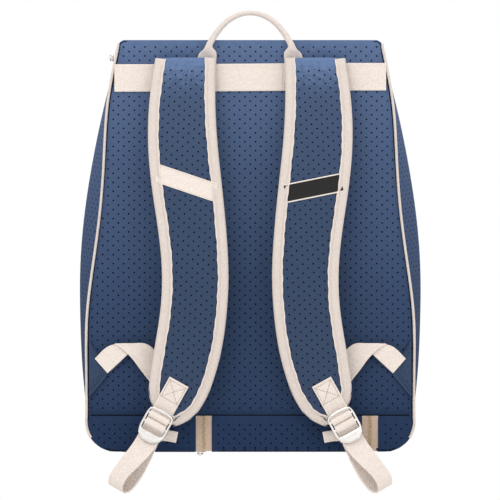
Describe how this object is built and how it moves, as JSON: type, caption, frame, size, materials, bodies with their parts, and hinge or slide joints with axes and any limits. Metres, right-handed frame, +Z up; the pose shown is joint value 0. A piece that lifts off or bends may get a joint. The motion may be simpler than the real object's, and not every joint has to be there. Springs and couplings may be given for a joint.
{
  "type": "racket backpack",
  "caption": "Racket backpack of perforated fabric with padded shoulder straps, ladder-lock buckles, a lid, a racket cover, a shoe compartment and a grab handle.",
  "frame": {"origin": "underside of the grab handle's arch at its middle, where a hook or hand carries the bag", "axes": "+Z up, -Y out of the harness side (towards the wearer's back), +X to the right as one looks at the harness"},
  "size_m": [0.3839, 0.256, 0.5398],
  "materials": {
    "navy_perforated_neoprene": "perforated laminated neoprene, matte",
    "lining_fabric": "plain woven polyester lining",
    "base_board_plastic": "extruded polypropylene sheet",
    "cream_webbing": "woven polyester webbing",
    "cream_binding": "folded binding tape",
    "black_label": "plain woven label with pale edges",
    "zip_tape": "woven zip tape with coil teeth",
    "zip_metal": "antique brass plated zinc",
    "zip_pull_cord": "folded webbing pull",
    "silver_die_cast": "nickel plated zinc casting"
  },
  "bodies": {
    "bag": {"back_panel": "navy_perforated_neoprene", "lower_back_left": "navy_perforated_neoprene", "lower_back_right": "navy_perforated_neoprene", "side_gusset_left": "navy_perforated_neoprene", "side_gusset_right": "navy_perforated_neoprene", "base_panel": "navy_perforated_neoprene", "racket_divider": "lining_fabric", "shoe_compartment_ceiling": "lining_fabric", "base_board": "base_board_plastic", "back_foam_pad": "lining_fabric", "laptop_sleeve": "lining_fabric", "shoe_zip_tape_bag": "zip_tape", "lid_zip_tape": "zip_tape", "racket_cover_zip_tape": "zip_tape", "grab_handle_ends": "cream_webbing", "shoulder_band": "cream_webbing", "piping_left": "cream_binding", "piping_right": "cream_binding", "anchor_tab_left": "navy_perforated_neoprene", "anchor_tab_right": "navy_perforated_neoprene", "anchor_web_left": "cream_webbing", "anchor_web_right": "cream_webbing", "strap_root_left": "cream_webbing", "strap_root_right": "cream_webbing"},
    "lid": {"lid": "navy_perforated_neoprene"},
    "racket_cover": {"racket_cover": "navy_perforated_neoprene", "front_pocket": "navy_perforated_neoprene", "front_pocket_zip_tape": "zip_tape"},
    "shoe_door": {"shoe_door": "navy_perforated_neoprene", "shoe_zip_tape_door": "zip_tape"},
    "grab_handle": {"grab_handle": "cream_webbing"},
    "strap_left": {"strap_pad_left": "navy_perforated_neoprene", "strap_binding_left": "cream_binding", "strap_tape_left": "cream_binding", "buckle_web_left": "cream_webbing"},
    "strap_right": {"strap_pad_right": "navy_perforated_neoprene", "strap_binding_right": "cream_binding", "strap_label_right": "black_label", "buckle_web_right": "cream_webbing"},
    "buckle_left": {"ladder_lock_left": "silver_die_cast", "adjuster_web_left": "cream_webbing"},
    "buckle_right": {"ladder_lock_right": "silver_die_cast", "adjuster_web_right": "cream_webbing"},
    "pocket_zip_slider": {"pocket_zip_slider": "zip_metal"},
    "pocket_zip_pull": {"pocket_zip_pull": "zip_pull_cord"},
    "shoe_zip_slider": {"shoe_zip_slider": "zip_metal"},
    "shoe_zip_pull": {"shoe_zip_pull": "zip_pull_cord"},
    "racket_zip_slider": {"racket_zip_slider": "zip_metal"},
    "racket_zip_pull": {"racket_zip_pull": "zip_pull_cord"},
    "lid_zip_slider": {"lid_zip_slider": "zip_metal"},
    "lid_zip_pull": {"lid_zip_pull": "zip_pull_cord"}
  },
  "joints": [
    {"name": "lid_hinge", "type": "hinge", "parent": "bag", "child": "lid", "pos_m": [0, 0.01025, -0.024], "axis": [1, 0, 0], "range_deg": [0, 85]},
    {"name": "racket_cover_hinge", "type": "hinge", "parent": "bag", "child": "racket_cover", "pos_m": [0, 0.12625, -0.485], "axis": [-1, 0, 0], "range_deg": [0, 55]},
    {"name": "shoe_door_hinge", "type": "hinge", "parent": "bag", "child": "shoe_door", "pos_m": [0, 0.10975, -0.485], "axis": [1, 0, 0], "range_deg": [0, 100]},
    {"name": "handle_fold", "type": "hinge", "parent": "bag", "child": "grab_handle", "pos_m": [0, 0, -0.03875], "axis": [1, 0, 0], "range_deg": [0, 75]},
    {"name": "strap_left_swing", "type": "hinge", "parent": "bag", "child": "strap_left", "pos_m": [0, -0.0032, -0.044], "axis": [-1, 0, 0], "range_deg": [0, 22]},
    {"name": "buckle_left_tilt", "type": "hinge", "parent": "strap_left", "child": "buckle_left", "pos_m": [-0.10141, -0.03, -0.44582], "axis": [-0.8746, 0, 0.4848], "range_deg": [0, 25]},
    {"name": "strap_right_swing", "type": "hinge", "parent": "bag", "child": "strap_right", "pos_m": [0, -0.0032, -0.044], "axis": [-1, 0, 0], "range_deg": [0, 22]},
    {"name": "buckle_right_tilt", "type": "hinge", "parent": "strap_right", "child": "buckle_right", "pos_m": [0.10141, -0.03, -0.44582], "axis": [-0.8746, 0, -0.4848], "range_deg": [0, 25]},
    {"name": "pocket_zip_slide", "type": "slide", "parent": "racket_cover", "child": "pocket_zip_slider", "axis": [-1, 0, 0], "range_m": [0, 0.125]},
    {"name": "pocket_zip_pull_swing", "type": "hinge", "parent": "pocket_zip_slider", "child": "pocket_zip_pull", "pos_m": [0.0643, 0.18604, -0.21929], "axis": [0, 0.9946, 0.1041], "range_deg": [0, 150]},
    {"name": "shoe_zip_slide", "type": "slide", "parent": "bag", "child": "shoe_zip_slider", "axis": [0, -1, 0], "range_m": [0, 0.065]},
    {"name": "shoe_zip_pull_swing", "type": "hinge", "parent": "shoe_zip_slider", "child": "shoe_zip_pull", "pos_m": [-0.0563, 0.0847, -0.4885], "axis": [-1, 0, 0], "range_deg": [0, 150]},
    {"name": "racket_zip_slide", "type": "slide", "parent": "bag", "child": "racket_zip_slider", "axis": [0, 0, 1], "range_m": [0, 0.13]},
    {"name": "racket_zip_pull_swing", "type": "hinge", "parent": "racket_zip_slider", "child": "racket_zip_pull", "pos_m": [-0.1865, 0.1214, -0.3847], "axis": [0, 1, 0], "range_deg": [0, 150]},
    {"name": "lid_zip_slide", "type": "slide", "parent": "bag", "child": "lid_zip_slider", "axis": [0, 1, 0], "range_m": [0, 0.07]},
    {"name": "lid_zip_pull_swing", "type": "hinge", "parent": "lid_zip_slider", "child": "lid_zip_pull", "pos_m": [-0.1569, 0.0397, -0.043], "axis": [0, 0, 1], "range_deg": [0, 150]}
  ]
}
